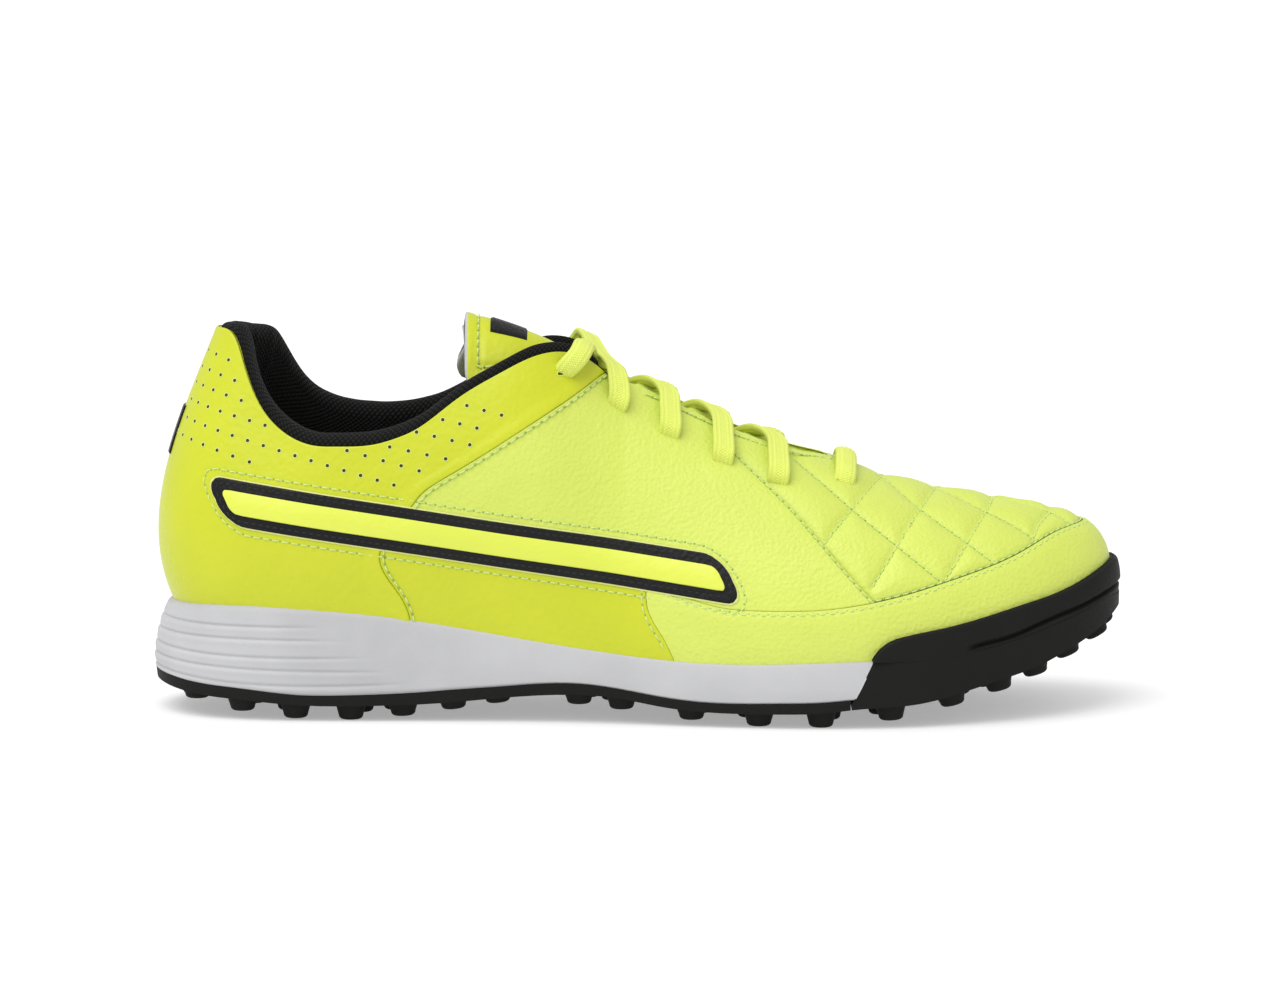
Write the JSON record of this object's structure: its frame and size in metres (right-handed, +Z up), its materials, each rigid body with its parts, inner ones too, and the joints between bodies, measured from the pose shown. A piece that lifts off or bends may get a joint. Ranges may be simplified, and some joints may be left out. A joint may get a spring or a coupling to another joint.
{
  "type": "turf soccer shoe",
  "caption": "Low-cut right-foot turf soccer shoe with a quilted toe, padded collar, flat laces, foam midsole and rubber outsole with short studs.",
  "frame": {"origin": "on the ground, under the middle of the shoe's bounding box", "axes": "+X points to the toe, +Y to the inner (big-toe) side of this right shoe, +Z up"},
  "size_m": [0.2927, 0.1004, 0.1197],
  "materials": {
    "leather_light": "grained",
    "leather_bright": "smooth",
    "band_black": "smooth",
    "band_yellow": "smooth",
    "mesh_black": "knitted",
    "lining_fabric": "brushed",
    "foam": "open cell",
    "stiffener": "resin board",
    "board": "non-woven",
    "sockliner": "woven",
    "midsole_foam": "satin",
    "outsole_rubber": "matt",
    "lace": "woven",
    "badge": "smooth"
  },
  "bodies": {
    "shoe": {"outsole_rear": "outsole_rubber", "outsole_front": "outsole_rubber", "toe_bumper": "outsole_rubber", "midsole": "midsole_foam", "strobel_board": "board", "rand": "leather_light", "vamp": "leather_light", "forefoot_lining": "lining_fabric", "heel_lining": "lining_fabric", "collar_lining": "mesh_black", "collar_foam": "foam", "heel_counter": "stiffener", "toe_puff": "stiffener", "heel_patch": "badge", "tongue_face": "leather_bright", "tongue_foam": "foam", "tongue_lining": "lining_fabric", "lace": "lace", "heel_panel_lateral": "leather_bright", "midfoot_panel_lateral": "leather_bright", "quarter_lateral": "leather_light", "side_band_trim_lateral": "band_black", "side_band_lateral": "band_yellow", "eyestay_reinforcement_lateral": "stiffener", "heel_panel_medial": "leather_bright", "midfoot_panel_medial": "leather_bright", "quarter_medial": "leather_light", "side_band_trim_medial": "band_black", "side_band_medial": "band_yellow", "eyestay_reinforcement_medial": "stiffener"},
    "tongue_top": {"tongue_top_face": "leather_bright", "tongue_top_foam": "foam", "tongue_top_lining": "lining_fabric", "tongue_badge": "badge"},
    "sockliner": {"sockliner": "sockliner"}
  },
  "joints": [
    {"name": "tongue_fold", "type": "hinge", "parent": "shoe", "child": "tongue_top", "pos_m": [-0.0274, 0.00145, 0.1108], "axis": [0, 1, 0], "range_deg": [0, 50]},
    {"name": "sockliner_lift", "type": "hinge", "parent": "shoe", "child": "sockliner", "pos_m": [0.1345, 0.00145, 0.029], "axis": [0, 1, 0], "range_deg": [0, 4]}
  ]
}
